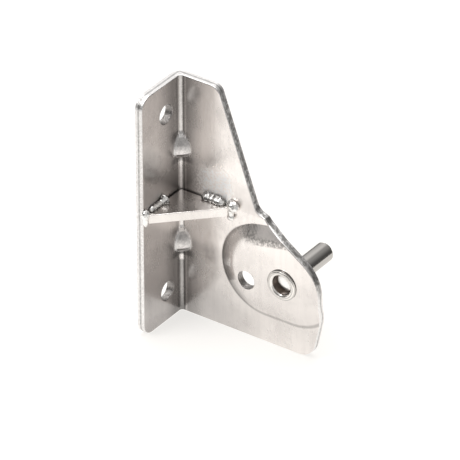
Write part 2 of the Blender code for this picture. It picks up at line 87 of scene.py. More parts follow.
# Places on the bracket, in the part's own frame
FOLD_FACE = 0.0108
FLANGE_FACE = 0.0040
BOLT_SPREAD = 0.0469
SPARE_HOLE = (0.0419, -0.0313)
PIN_PLACE = (0.0616, -0.0267)
PAD_INNER = (0.0505, -0.0247, 0.0238)
PAD_OUTER = (0.0652, -0.0231, 0.0253)
PAD_WALL = 0.0094
PAD_RISE = 0.0028
GUSSET_TOP = 0.00295
GUSSET_FOOT = -0.00155
DARTS = (-0.0267, 0.0233)
PIN_SEAT = 0.0120
RECESS_FLOOR = 0.0116

# Zones. A pair is where a mask starts to change and where it has changed, and four values are where it
# starts, is full, starts to fade and ends. FACING is the normal's share along an axis, the rest is metres.
# Surfaces of the sheet
FLANGE_X = (0.0046, 0.0054)
FLANGE_Y = (FOLD_FACE - 0.0016, FOLD_FACE - 0.0006)
FOLD_X = (0.0055, 0.0056)
FOLD_Y = (FOLD_FACE - 0.0018, FOLD_FACE - 0.0015)
CORNER_X = (0.0055, 0.0125)
CORNER_Y = (FOLD_FACE - 0.0070, FOLD_FACE - 0.0002)
END_FACING = (0.5, 0.7)
CUT_FACING = (0.45, 0.70)
FLANGE_FACING = (0.2, 0.6)
FRONT_FACING = (-0.6, -0.2)
FRONT_X = (0.004, 0.0045)
INNER_SUNK = (0.0008, 0.0016)
SPARE_HOLE_REACH = (0.0046, 0.0050)
BOLT_HOLE_REACH = (0.0049, 0.0053)

# Marks on the plate and in the bend: painted shade, painted light, a mottled patch and rougher plate near the
# gusset
BELOW_GUSSET_Z = (-0.026, -0.019, GUSSET_FOOT - 0.002, GUSSET_FOOT + 0.002)
NEAR_GUSSET_Z = (GUSSET_TOP - 0.001, GUSSET_TOP, 0.010, 0.020)
# Painted shade on the plate beside the flange, reaching further out low down
NEAR_FLANGE_SHADE_X = (0.006, 0.036)
NEAR_FLANGE_SHADE_SHIFT = 0.019
NEAR_FLANGE_SHADE_SHIFT_Z = (-0.060, -0.036)
# A patch of painted light on the plate above the gusset, also rougher and bumpier
LIT_PATCH_X = (0.007, 0.014, 0.028, 0.036)
LIT_PATCH_Z = (GUSSET_TOP - 0.001, GUSSET_TOP + 0.001, 0.013, 0.024)
# A darker mottled patch on the plate, left of the pad
MOTTLED_PATCH_X = (0.013, 0.018, 0.022, 0.028)
MOTTLED_PATCH_Z = (-0.042, -0.036, -0.026, -0.019)
# Painted shade on the plate's lower left
LOW_SHADE_X = (0.038, 0.060)
LOW_SHADE_Z = (-0.058, -0.042)
SHADE_REACH = (0.0030, 0.0140)
# A painted light line beside the bend, where the corner's painted shade is lifted
LIP_ALONG = (0.0023, 0.0026, 0.0030, 0.0034)
BEND_REACH = (0.0015, 0.0020)
BEND_LINE_ALONG = (0.0013, 0.0016, 0.0018, 0.0022)
BEND_LINE_Y = (FOLD_FACE - 0.0008, FOLD_FACE - 0.0005)

# Marks on the pad's wall, by the distance inside the pad's outline: its grain, and painted shade at its left,
# in a fan, deep in the wall and along its lower left rim
WALL_DEPTH = (-0.0002, 0.0003, PAD_WALL * 0.7, PAD_WALL)
WALL_UPPER_Z = (-0.014, -0.009)
WALL_GRAIN_X = (0.040, 0.046)
WALL_FAN_X = (0.0395, 0.0425, 0.0450, 0.0490)
WALL_LEFT_DEPTH = (0.0, 0.0003, 0.0022, 0.0060)
WALL_LEFT_X = (0.036, 0.046)
WALL_LEFT_Z = (-0.020, -0.010)
WALL_DEEP_DEPTH = (0.0050, 0.0068, 0.0090, 0.0100)
WALL_DEEP_X = (0.043, 0.049)
WALL_DEEP_Z = (-0.024, -0.016)
PAD_LINE_DEPTH = (-0.0006, 0.0004, 0.0008, 0.0022)
PAD_LINE_SLOPE = -1.6
PAD_LINE_X = (0.020, 0.034)

# Marks on cut edges, by the depth in the sheet from its inner faces
STRIPE_SUNK = (0.0014, 0.0019, 0.0023, 0.0028)
TORN_SUNK = (0.0003, 0.0008, 0.0031, 0.0037)
TORN_X = (0.0245, 0.0265)
TORN_Z = (-0.032, -0.020)
ROUNDED_SUNK = (0.0006, 0.0012, 0.0028, 0.0034)
ROUNDED_FACING_Z = (0.15, 0.30, 0.80, 0.95)
ROUNDED_FACING_Y = (-0.35, -0.20)

# Marks on and below the darts, by the height above each dart's middle: painted shade on their upper part and
# undersides, and a painted shadow and glint below them
DART_OFF_WALLS = (0.0005, 0.0008)
DART_ALONG = (0.008, 0.010)
DART_RISE = (0.0005, 0.0060, 0.020, 0.021)
DART_SHADOW = (-0.0064, -0.0048, -0.0034, -0.0016)
DART_SHADOW_REACH = (0.0045, 0.0085)
DART_GLINT = (-0.0090, -0.0074, -0.0056, -0.0048)
CREASE_FACING = (-0.30, -0.10)

# Noises: scale per metre, detail, roughness, and where needed the share of the scale along each axis
CLOUDS = (75.0, 5.0, 0.6)
STREAKS = (420.0, 4.0, 0.6, (1.0, 1.0, 0.06))
FINE = (700.0, 3.0, 0.6, (1.0, 1.0, 0.25))
TORN = (1900.0, 3.0, 0.7)
COARSE = (950.0, 3.0, 0.75)
FLECKS = (620.0, 3.0, 0.7)
RINGS = (1500.0, 2.0, 0.5, (0.02, 1.0, 0.02))
LUMPS = (1300.0, 3.0, 0.6)
NOISE_SPAN = (0.3, 0.7)
NARROW_SPAN = (0.35, 0.65)

# Plated colours, with painted shade in the bracket's inside corner: the plate beside the flange and the
# flange's face are darker copies of the plate colour, as painted shade. Tones are painted light and shade, as
# brightness by height
PLATE_COLOUR = (0.96, 0.915, 0.885)
# Painted shade on the plate, darker towards the bottom
PLATE_SHADE_TONES = ((-0.0625, 0.94), (-0.048, 0.84), (-0.028, 0.87), (-0.016, 0.96), (-0.004, 1.0), (0.016, 1.0),
               (0.035, 1.0), (0.060, 0.96))
# The plate beside the flange: a darker copy of the plate colour, as painted shade
NEAR_FLANGE_SHADE_COLOUR = (0.80, 0.765, 0.745)
# The flange's face: a darker copy of the plate colour, as painted shade
FLANGE_SHADE_COLOUR = (0.60, 0.57, 0.555)
# Painted light and shade on the flange, by height
FLANGE_SHADE_TONES = ((-0.0625, 0.86), (-0.054, 0.94), (-0.040, 0.80), (-0.026, 0.82), (-0.010, 0.96),
                (0.006, 1.04), (0.018, 1.02), (0.035, 0.89), (0.0625, 0.81))
BEND_COLOUR = (0.92, 0.89, 0.87)
# Painted light and shade in the bend, by height
BEND_SHADE_TONES = ((-0.0625, 0.34), (-0.050, 0.52), (-0.034, 0.44), (-0.013, 1.0), (0.014, 1.0), (0.026, 0.74),
              (0.0625, 0.66))
# Painted shade on the darts' upper part
DART_TOP_SHADE_COLOUR = (0.50, 0.485, 0.475)
# Dark of the painted shade on the darts' undersides, and of the joints and the weld crust
CREASE_SHADE_AND_CRUST_COLOUR = (0.13, 0.12, 0.115)
EDGE_LIGHT = (0.95, 0.94, 0.93)
EDGE_DARK = (0.72, 0.70, 0.69)
TORN_DARK = (0.33, 0.32, 0.31)
# Painted shade on the walls of the holes, darker and paler by a noise
HOLE_SHADE_COLOUR = (0.20, 0.185, 0.175)
HOLE_PALE_SHADE = (0.46, 0.44, 0.43)
GUSSET_COLOUR = (0.90, 0.86, 0.83)

# Shares of brightness that marks and painted shade leave, and the noise values between which they break up
CLOUD_SHADE = 0.92
CLOUD_BREAK = (0.40, 0.66)
STREAK_SHADE = 0.96
# Painted shade in the bracket's inside corner, and the share of it left on the lip beside the bend as a
# painted light line
CORNER_SHADE = 0.62
LIP_SHARE = 0.2
BEND_SHADE = 0.86
BEND_BREAK = (0.36, 0.56)
BEND_LINE_SHADE = 0.50
DART_SHADE = 0.72
DART_BREAK = (0.38, 0.60)
DART_SHADOW_SHADE = 0.50
STRIPE_SHADE = 0.45
STRIPE_BREAK = (0.40, 0.60, 0.5, 1.0)
EDGE_BREAK = (0.40, 0.60)
TORN_BREAK = (0.46, 0.55)
HOLE_BREAK = (0.46, 0.60)

# Marks on the sheet, in the order in which they are laid: zone, brightness, and the noise that breaks
# the mark up with two of its values and the mark's strength at each. The first is painted light; the rest are
# painted shade, but for the pad wall's grain and the last, a darker mottled patch
MARKS = (
    ("lit_patch", 1.50, "coarse", (0.40, 0.62, 0.2, 1.0)),
    ("low", 0.87, None, None),
    ("wall_left_shade", 0.67, None, None),
    ("pad_shade_line", 0.66, None, None),
    ("wall_grain", 0.92, "coarse", (0.36, 0.48, 1.0, 0.0)),
    ("wall_fan_shade", 0.52, "coarse", (0.44, 0.58, 1.0, 0.2)),
    ("wall_deep_shade", 0.40, "coarse", (0.42, 0.60, 1.0, 0.2)),
    ("mottled_patch", 0.72, "clouds", (0.36, 0.56, 1.0, 0.3)),
)

# Gloss of the sheet: roughness in its clouds and grain, what zones add to it, and their coarse relief
PLATE_GLOSS = (0.18, 0.28)
GUSSET_GLOSS = (0.16, 0.26)
FINE_GLOSS = (-0.02, 0.05)
ZONE_GLOSS = (("cut", 0.14), ("dart", 0.16), ("wall_grain", 0.14), ("near_gusset", 0.10), ("lit_patch", 0.22))
ZONE_RELIEF = (("cut", 0.25), ("wall_grain", 1.5), ("lit_patch", 0.6), ("dart", 0.35), ("bend", 0.35))
RUGGED_DEPTH = 40.0
SHEET_BUMP = (0.12, 0.00006)

# Gusset plate: its dark joints with the walls, and a patch of painted light on its top, also rougher
JOINT_X = (0.0044, 0.0054)
JOINT_Y = (FOLD_FACE - 0.0012, FOLD_FACE - 0.0005)
GUSSET_LIT_PATCH_X = (0.010, 0.017, 0.030, 0.038)
GUSSET_LIT_PATCH_Y = (FOLD_FACE - 0.014, FOLD_FACE - 0.006)
GUSSET_LIT_PATCH_BREAK = (0.40, 0.60, 0.2, 1.0)
GUSSET_LIT_PATCH_LIGHT = 1.15
GUSSET_LIT_PATCH_GLOSS = 0.25

# Turned pin: radii of its zones, and depths along its axis
PIN_COLOUR = (0.88, 0.85, 0.815)
SHANK_SHADE = 0.56
SHANK_Y = (PIN_SEAT, PIN_SEAT + 0.001)
BORE_RADIUS = (0.0052, 0.0056)
BORE_Y = (0.0074, 0.0080)
# Painted shade on the bore's wall
BORE_SHADE_COLOUR = (0.26, 0.22, 0.195)
BORE_GLOSS = 0.16
BORE_FLOOR_RADIUS = (0.0046, 0.0047)
BORE_FLOOR_Y = (RECESS_FLOOR - 0.0001, RECESS_FLOOR)
# Painted light on the bore's floor, lighter than the pin
BORE_FLOOR_LIGHT_COLOUR = (0.97, 0.965, 0.955)
BORE_FLOOR_DISH = 38.0
# Two painted shade lines at the rivet head's edges
RIVET_SHADE_LINES = ((0.0060, 0.0062, 0.0064, 0.0066), (0.0071, 0.0073, 0.0075, 0.0078))
RIVET_LINE_SHADE = 0.62
RIVET_GLOSS = 0.14
SHANK_GLOSS = 0.04
RING_GLOSS = (0.0, 0.05)
RING_BUMP = (0.08, 0.00003)

# Weld metal: its crown, by the height over the gusset less the distance from the wall, the noise value
# below which crust shows beside it, and the lumps of its form
BEAD_COLOUR = (0.90, 0.89, 0.87)
BEAD_CRUST = 0.5
BEAD_GLOSS = (0.36, 0.24)
CORNER_COLOUR = (0.93, 0.92, 0.90)
CORNER_CRUST = 0.36
CORNER_GLOSS = (0.34, 0.22)
CROWN_TILT = (-0.0012, -0.0007, 0.0007, 0.0013)
CRUST_BLUR = 0.07
BEAD_BUMP = (0.04, 0.0003)
WELD_VOXEL = 0.00018
WELD_SOFTENING = 8
WELD_GROWTH = 0.0001
LUMP_SIZE = 0.0018
LUMP_DEPTH = 0.00005
LUMP_FRACTAL = (0.8, 2.2, 3)

# Sockets of the Mix node, by its kind: the first of the two values, and the result
MIX_SOCKETS = {"FLOAT": (2, 0), "RGBA": (6, 2)}


def is_socket(value):
    """Whether a value is another node's output."""
    return isinstance(value, bpy.types.NodeSocket)


def node(tree, kind, inputs=None, **settings):
    """A shader node with its settings and its inputs, each a value or another node's output."""
    item = tree.nodes.new(kind)
    for name, value in settings.items():
        setattr(item, name, value)
    for name, value in (inputs or {}).items():
        join(tree, item.inputs[name], value)
    return item


def join(tree, socket, value):
    """Link a socket to another node's output, or set it to a value."""
    if is_socket(value):
        tree.links.new(value, socket)
    else:
        socket.default_value = value


def noise(tree, place, scale, detail, roughness, stretch=(1.0, 1.0, 1.0)):
    """Noise over the part's own space, drawn out along an axis where the stretch is small."""
    scaled = node(tree, "ShaderNodeMapping", {"Vector": place, "Scale": stretch})
    made = node(tree, "ShaderNodeTexNoise", {
        "Vector": scaled.outputs["Vector"], "Scale": scale, "Detail": detail, "Roughness": roughness})
    return made.outputs["Fac"]


def ramp(tree, value, low, high, to_low, to_high, smooth=True):
    """A value mapped from one range to another and held within it."""
    made = node(tree, "ShaderNodeMapRange", {
        "Value": value, "From Min": low, "From Max": high, "To Min": to_low, "To Max": to_high},
        interpolation_type="SMOOTHSTEP" if smooth else "LINEAR", clamp=True)
    return made.outputs["Result"]


def above(tree, value, low, high):
    """Nought below a range of values, and one above it."""
    return ramp(tree, value, low, high, 0.0, 1.0)


def below(tree, value, low, high):
    """One below a range of values, and nought above it."""
    return ramp(tree, value, low, high, 1.0, 0.0)


def band(tree, value, start, full, fading, end):
    """One between two values, with a soft rise and fall."""
    return both(tree, above(tree, value, start, full), below(tree, value, fading, end))


def calc(tree, operation, first, second=0.0):
    """One step of arithmetic."""
    return node(tree, "ShaderNodeMath", {0: first, 1: second}, operation=operation).outputs[0]


def minus(tree, first, second):
    """The difference of two values."""
    return calc(tree, "SUBTRACT", first, second)


def total(tree, *values):
    """The sum of several values."""
    return functools.reduce(lambda first, second: calc(tree, "ADD", first, second), values)


def both(tree, *masks):
    """Several masks, where they all overlap."""
    return functools.reduce(lambda first, second: calc(tree, "MULTIPLY", first, second), masks)


def either(tree, first, second):
    """Two masks together."""
    return calc(tree, "MAXIMUM", first, second)


def unless(tree, first, second):
    """A mask outside another one."""
    return both(tree, first, minus(tree, 1.0, second))


def mixed(tree, factor, first, second, kind):
    """Two values of one kind mixed by a factor."""
    first_socket, result_socket = MIX_SOCKETS[kind]
    made = node(tree, "ShaderNodeMix", data_type=kind)
    for value, number in ((factor, 0), (first, first_socket), (second, first_socket + 1)):
        join(tree, made.inputs[number], value)
    return made.outputs[result_socket]


def blend(tree, factor, first, second):
    """Two colours mixed by a factor."""
    first, second = (colour if is_socket(colour) else (*colour, 1.0) for colour in (first, second))
    return mixed(tree, factor, first, second, "RGBA")


def fade(tree, factor, first, second):
    """Two numbers mixed by a factor."""
    return mixed(tree, factor, first, second, "FLOAT")


def shade(tree, colour, mask, share):
    """A colour left with a share of its brightness where a mask is one."""
    return node(tree, "ShaderNodeVectorMath", {0: colour, "Scale": fade(tree, mask, 1.0, share)},
                operation="SCALE").outputs["Vector"]


def tinted(tree, colour, tint):
    """A colour multiplied by another one."""
    return node(tree, "ShaderNodeVectorMath", {0: colour, 1: tint}, operation="MULTIPLY").outputs["Vector"]


def bumped(tree, height, strength, distance, **inputs):
    """The normal of a surface with relief."""
    return node(tree, "ShaderNodeBump", {
        "Height": height, "Strength": strength, "Distance": distance, **inputs}).outputs["Normal"]


def split(tree, vector):
    """The three parts of a vector."""
    return node(tree, "ShaderNodeSeparateXYZ", {"Vector": vector}).outputs


def from_axis(tree, first, second, centre):
    """Distance from an axis through a centre."""
    offset = node(tree, "ShaderNodeCombineXYZ", {
        "X": minus(tree, first, centre[0]), "Y": minus(tree, second, centre[1])})
    return node(tree, "ShaderNodeVectorMath", {0: offset.outputs[0]}, operation="LENGTH").outputs["Value"]


def near_axis(tree, first, second, centre, inside, outside):
    """One inside a circle round an axis, falling to nought outside it."""
    return below(tree, from_axis(tree, first, second, centre), inside, outside)


def height_tones(tree, height, stops):
    """A brightness that changes with height, from stops of (height, brightness)."""
    low, high = stops[0][0], stops[-1][0]
    tones = node(tree, "ShaderNodeValToRGB", {"Fac": ramp(tree, height, low, high, 0.0, 1.0, smooth=False)})
    places = tones.color_ramp
    places.interpolation = "EASE"
    while len(places.elements) < len(stops):
        places.elements.new(0.5)
    for element, (level, tone) in zip(places.elements, stops):
        element.position = (level - low) / (high - low)
        element.color = (tone, tone, tone, 1.0)
    return tones.outputs["Color"]


def new_metal(name):
    """A metal material, its shader and the coordinates that its patterns use."""
    material = bpy.data.materials.new(name)
    material.use_nodes = True
    tree = material.node_tree
    shader = tree.nodes["Principled BSDF"]
    shader.inputs["Metallic"].default_value = 1.0
    place = node(tree, "ShaderNodeTexCoord").outputs["Object"]
    return material, tree, shader, place


def finish(tree, shader, tone, rough, normal):
    """Join colour, roughness and normal to a shader."""
    tree.links.new(tone, shader.inputs["Base Color"])
    tree.links.new(rough, shader.inputs["Roughness"])
    tree.links.new(normal, shader.inputs["Normal"])


def inside_pad(tree, where):
    """Distance inside the pad's outline, which wraps two circles; negative outside it."""
    run, lift = PAD_OUTER[0] - PAD_INNER[0], PAD_OUTER[1] - PAD_INNER[1]
    length = math.hypot(run, lift)
    growth = (PAD_OUTER[2] - PAD_INNER[2]) / length
    lean = growth / math.sqrt(1 - growth ** 2)
    x = minus(tree, where["X"], PAD_INNER[0])
    z = minus(tree, where["Z"], PAD_INNER[1])
    along = total(tree, calc(tree, "MULTIPLY", x, run / length), calc(tree, "MULTIPLY", z, lift / length))
    side = minus(tree, calc(tree, "MULTIPLY", z, run / length), calc(tree, "MULTIPLY", x, lift / length))
    across = calc(tree, "ABSOLUTE", side)
    nearest = total(tree, along, calc(tree, "MULTIPLY", across, lean))
    nearest = calc(tree, "MINIMUM", calc(tree, "MAXIMUM", nearest, 0.0), length)
    beyond = minus(tree, along, nearest)
    squares = total(tree, calc(tree, "MULTIPLY", beyond, beyond), calc(tree, "MULTIPLY", across, across))
    reach = total(tree, calc(tree, "MULTIPLY", nearest, growth), PAD_INNER[2])
    return minus(tree, reach, calc(tree, "SQRT", squares))


def sheet_measures(tree, place):
    """Where a point of the bracket lies, and which way its face looks."""
    where = split(tree, place)
    facing = split(tree, node(tree, "ShaderNodeNewGeometry").outputs["Normal"])
    along_plate = minus(tree, where["X"], FLANGE_FACE)
    ahead = minus(tree, FOLD_FACE, where["Y"])
    pad_depth = inside_pad(tree, where)
    rise = ramp(tree, pad_depth, 0.0, PAD_WALL, 0.0, PAD_RISE)
    return SimpleNamespace(
        x=where["X"], y=where["Y"], z=where["Z"],
        facing_x=facing["X"], facing_y=facing["Y"], facing_z=facing["Z"],
        along_plate=along_plate,
        from_fold=calc(tree, "MAXIMUM", along_plate, ahead),
        off_walls=calc(tree, "MINIMUM", along_plate, ahead),
        pad_depth=pad_depth,
        sunk=calc(tree, "MAXIMUM", minus(tree, 0.0, along_plate), minus(tree, rise, ahead)),
        over_darts=[minus(tree, where["Z"], height) for height in DARTS])


def sheet_surfaces(tree, at):
    """Masks for the sheet's faces, cut edges, holes and darts."""
    flange = both(tree, below(tree, at.x, *FLANGE_X), below(tree, at.y, *FLANGE_Y))
    fold = both(tree, below(tree, at.x, *FOLD_X), above(tree, at.y, *FOLD_Y))
    corner = either(tree, fold, both(tree, below(tree, at.x, *CORNER_X), above(tree, at.y, *CORNER_Y)))
    end = above(tree, calc(tree, "ABSOLUTE", at.facing_z), *END_FACING)
    through_sheet = calc(tree, "ABSOLUTE", fade(tree, flange, at.facing_y, at.facing_x))
    cut = both(tree, below(tree, through_sheet, *CUT_FACING), either(tree, minus(tree, 1.0, corner), end))
    spare_hole = near_axis(tree, at.x, at.z, SPARE_HOLE, *SPARE_HOLE_REACH)
    bolt_holes = either(tree, *(near_axis(tree, at.y, at.z, (0.0, height), *BOLT_HOLE_REACH)
                                for height in (BOLT_SPREAD, -BOLT_SPREAD)))
    flange_face = both(tree, above(tree, at.facing_x, *FLANGE_FACING), flange)
    front = below(tree, at.facing_y, *FRONT_FACING)
    return SimpleNamespace(
        flange=flange_face,
        front=front,
        inwards=either(tree, flange_face, both(tree, front, above(tree, at.x, *FRONT_X))),
        inner=unless(tree, below(tree, at.sunk, *INNER_SUNK), end),
        end=end,
        cut=cut,
        hole=both(tree, either(tree, spare_hole, both(tree, bolt_holes, flange)), cut),
        dart=both(tree, above(tree, at.off_walls, *DART_OFF_WALLS), below(tree, at.along_plate, *DART_ALONG)))


def plate_zones(tree, at, on):
    """Masks for painted shade, a patch of painted light and a mottled patch on the plate, and for the bend.
    """
    below_gusset = band(tree, at.z, *BELOW_GUSSET_Z)
    shifted = minus(tree, at.x, ramp(tree, at.z, *NEAR_FLANGE_SHADE_SHIFT_Z, NEAR_FLANGE_SHADE_SHIFT, 0.0))
    return {
        "recess": unless(tree, both(tree, below(tree, shifted, *NEAR_FLANGE_SHADE_X), on.front), below_gusset),
        "lit_patch": both(tree, band(tree, at.x, *LIT_PATCH_X), band(tree, at.z, *LIT_PATCH_Z), on.front),
        "near_gusset": both(tree, band(tree, at.z, *NEAR_GUSSET_Z), on.inner),
        "mottled_patch": both(tree, band(tree, at.x, *MOTTLED_PATCH_X), on.front, band(tree, at.z, *MOTTLED_PATCH_Z)),
        "low": both(tree, below(tree, at.z, *LOW_SHADE_Z), on.front, below(tree, at.x, *LOW_SHADE_X)),
        "shade": both(tree, unless(tree, below(tree, at.from_fold, *SHADE_REACH), below_gusset),
                      both(tree, on.inwards, on.inner)),
        "lip": band(tree, at.along_plate, *LIP_ALONG),
        "bend": both(tree, below(tree, at.from_fold, *BEND_REACH), on.inner),
        "bend_line": both(tree, band(tree, at.along_plate, *BEND_LINE_ALONG),
                          both(tree, above(tree, at.y, *BEND_LINE_Y), on.inner)),
    }


def pad_zones(tree, at, on):
    """Masks for the grain and the painted shade on the raised pad's wall."""
    wall = both(tree, band(tree, at.pad_depth, *WALL_DEPTH), on.front)
    upper = above(tree, at.z, *WALL_UPPER_Z)
    down_left = minus(tree, at.x, calc(tree, "MULTIPLY", at.z, PAD_LINE_SLOPE))
    return {
        "wall_grain": both(tree, wall, upper, above(tree, at.x, *WALL_GRAIN_X)),
        "wall_fan_shade": both(tree, wall, both(tree, band(tree, at.x, *WALL_FAN_X), upper)),
        "wall_left_shade": both(tree, band(tree, at.pad_depth, *WALL_LEFT_DEPTH), on.front,
                          both(tree, below(tree, at.x, *WALL_LEFT_X), below(tree, at.z, *WALL_LEFT_Z))),
        "wall_deep_shade": both(tree, band(tree, at.pad_depth, *WALL_DEEP_DEPTH), on.front,
                          both(tree, above(tree, at.x, *WALL_DEEP_X), above(tree, at.z, *WALL_DEEP_Z))),
        "pad_shade_line": both(tree, band(tree, at.pad_depth, *PAD_LINE_DEPTH), on.front,
                         below(tree, down_left, *PAD_LINE_X)),
    }


def edge_zones(tree, at, on):
    """Masks for the bands on cut edges, which shearing leaves bright or torn."""
    torn_side = both(tree, above(tree, at.x, *TORN_X), above(tree, at.z, *TORN_Z))
    rounded = both(tree, band(tree, at.facing_z, *ROUNDED_FACING_Z),
                   below(tree, at.facing_y, *ROUNDED_FACING_Y))
    return {
        "cut": on.cut,
        "hole": on.hole,
        "stripe": band(tree, at.sunk, *STRIPE_SUNK),
        "torn": either(tree, both(tree, band(tree, at.sunk, *TORN_SUNK), torn_side),
                       both(tree, band(tree, at.sunk, *ROUNDED_SUNK), rounded)),
    }


def dart_zones(tree, at, on):
    """Masks for the pressed darts, their painted shade above and on their undersides, and the painted shadow
    and glint below each.
    """
    shadow, glint, rise = (either(tree, *(band(tree, height, *span) for height in at.over_darts))
                           for span in (DART_SHADOW, DART_GLINT, DART_RISE))
    crease_shade = both(tree, below(tree, at.facing_z, *CREASE_FACING), on.dart)
    return {
        "dart": unless(tree, on.dart, on.end),
        "dart_top_shade": rise,
        "dart_shadow": both(tree, shadow, below(tree, at.from_fold, *DART_SHADOW_REACH), on.inner),
        "glint": glint,
        "crease_shade": unless(tree, crease_shade, on.end),
    }


def rolled_plate(tree, place, colour, gloss):
    """Tone, roughness, clouds and grain of plate on rolled sheet."""
    clouds, streaks, fine = (noise(tree, place, *kind) for kind in (CLOUDS, STREAKS, FINE))
    tone = blend(tree, above(tree, clouds, *CLOUD_BREAK), colour, [CLOUD_SHADE * part for part in colour])
    tone = shade(tree, tone, above(tree, streaks, *NARROW_SPAN), STREAK_SHADE)
    rough = total(tree, ramp(tree, clouds, *NOISE_SPAN, *gloss), ramp(tree, fine, *NOISE_SPAN, *FINE_GLOSS))
    return tone, rough, clouds, fine


def edge_tone(tree, zone, torn, coarse, flecks):
    """Sheared edge: bright with a darker stripe, and speckled where the metal tore."""
    edge = blend(tree, above(tree, torn, *EDGE_BREAK), EDGE_DARK, EDGE_LIGHT)
    edge = shade(tree, edge, both(tree, zone["stripe"], ramp(tree, coarse, *STRIPE_BREAK)), STRIPE_SHADE)
    return blend(tree, both(tree, zone["torn"], below(tree, flecks, *TORN_BREAK)), edge, TORN_DARK)


def bend_tone(tree, zone, height, coarse):
    """Inside of the bend: painted light and shade by height, with a painted glint below each dart."""
    bend = tinted(tree, BEND_COLOUR, height_tones(tree, height, BEND_SHADE_TONES))
    bend = shade(tree, bend, below(tree, coarse, *BEND_BREAK), BEND_SHADE)
    return blend(tree, zone["glint"], bend, BEND_COLOUR)


def dart_tone(tree, zone, coarse):
    """Pressed dart: bright at its foot, with painted shade above."""
    dart = blend(tree, zone["dart_top_shade"], BEND_COLOUR, DART_TOP_SHADE_COLOUR)
    return shade(tree, dart, below(tree, coarse, *DART_BREAK), DART_SHADE)


def face_tone(tree, zone, height, tone, grains):
    """Faces of flange and plate, with painted shade beside and on the flange, painted light and shade by
    height, and the marks laid over them.
    """
    # The plate beside the flange and the flange's face take darker copies of the plate colour: painted shade
    recess, flange = (tinted(tree, tone, [new / old for new, old in zip(colour, PLATE_COLOUR)])
                      for colour in (NEAR_FLANGE_SHADE_COLOUR, FLANGE_SHADE_COLOUR))
    tone = tinted(tree, blend(tree, zone["recess"], tone, recess), height_tones(tree, height, PLATE_SHADE_TONES))
    flange = tinted(tree, flange, height_tones(tree, height, FLANGE_SHADE_TONES))
    tone = blend(tree, zone["flange"], tone, flange)
    # Painted shade in the bracket's inside corner, lifted on the lip to a painted light line
    tone = shade(tree, tone, both(tree, zone["shade"], fade(tree, zone["lip"], 1.0, LIP_SHARE)), CORNER_SHADE)
    for name, share, grain, broken in MARKS:
        mark = zone[name]
        if grain:
            mark = both(tree, mark, ramp(tree, grains[grain], *broken))
        tone = shade(tree, tone, mark, share)
    return tone


def sheet_metal(name):
    """The bracket: plate on rolled sheet, with painted shade in its corner and painted light and shade
    elsewhere, and torn at its cut edges.
    """
    material, tree, shader, place = new_metal(name)
    tone, rough, clouds, fine = rolled_plate(tree, place, PLATE_COLOUR, PLATE_GLOSS)
    torn, coarse, flecks = (noise(tree, place, *kind) for kind in (TORN, COARSE, FLECKS))
    at = sheet_measures(tree, place)
    on = sheet_surfaces(tree, at)
    zone = {"flange": on.flange}
    for zones in (plate_zones, pad_zones, edge_zones, dart_zones):
        zone.update(zones(tree, at, on))

    tone = face_tone(tree, zone, at.z, tone, {"clouds": clouds, "coarse": coarse})
    tone = blend(tree, zone["bend"], tone, bend_tone(tree, zone, at.z, coarse))
    tone = shade(tree, tone, zone["bend_line"], BEND_LINE_SHADE)
    # Darts, with painted shade on their upper part
    tone = blend(tree, zone["dart"], tone, dart_tone(tree, zone, coarse))
    tone = shade(tree, tone, zone["dart_shadow"], DART_SHADOW_SHADE)
    # Painted shade on the darts' undersides
    tone = blend(tree, zone["crease_shade"], tone, CREASE_SHADE_AND_CRUST_COLOUR)
    tone = blend(tree, zone["cut"], tone, edge_tone(tree, zone, torn, coarse, flecks))
    # Painted shade on the walls of the holes
    hole = blend(tree, above(tree, torn, *HOLE_BREAK), HOLE_SHADE_COLOUR, HOLE_PALE_SHADE)
    tone = blend(tree, zone["hole"], tone, hole)

    rough = total(tree, rough, *(both(tree, zone[name], share) for name, share in ZONE_GLOSS))
    rugged = total(tree, zone["torn"], *(both(tree, zone[name], share) for name, share in ZONE_RELIEF))
    relief = total(tree, fine, both(tree, coarse, rugged, RUGGED_DEPTH))
    finish(tree, shader, tone, rough, bumped(tree, relief, *SHEET_BUMP))
    return material


def gusset_metal(name):
    """The gusset's plate, dark with flux along its joints with the walls, and with a patch of painted light
    on its top.
    """
    material, tree, shader, place = new_metal(name)
    tone, rough, _, fine = rolled_plate(tree, place, GUSSET_COLOUR, GUSSET_GLOSS)
    where = split(tree, place)
    joint = either(tree, below(tree, where["X"], *JOINT_X), above(tree, where["Y"], *JOINT_Y))
    lit_patch = both(tree, band(tree, where["X"], *GUSSET_LIT_PATCH_X), above(tree, where["Y"], *GUSSET_LIT_PATCH_Y),
                  ramp(tree, noise(tree, place, *COARSE), *GUSSET_LIT_PATCH_BREAK))
    # Painted light on a patch of the gusset's top
    tone = shade(tree, tone, lit_patch, GUSSET_LIT_PATCH_LIGHT)
    tone = blend(tree, joint, tone, CREASE_SHADE_AND_CRUST_COLOUR)
    rough = total(tree, rough, both(tree, lit_patch, GUSSET_LIT_PATCH_GLOSS))
    finish(tree, shader, tone, rough, bumped(tree, fine, *SHEET_BUMP))
    return material


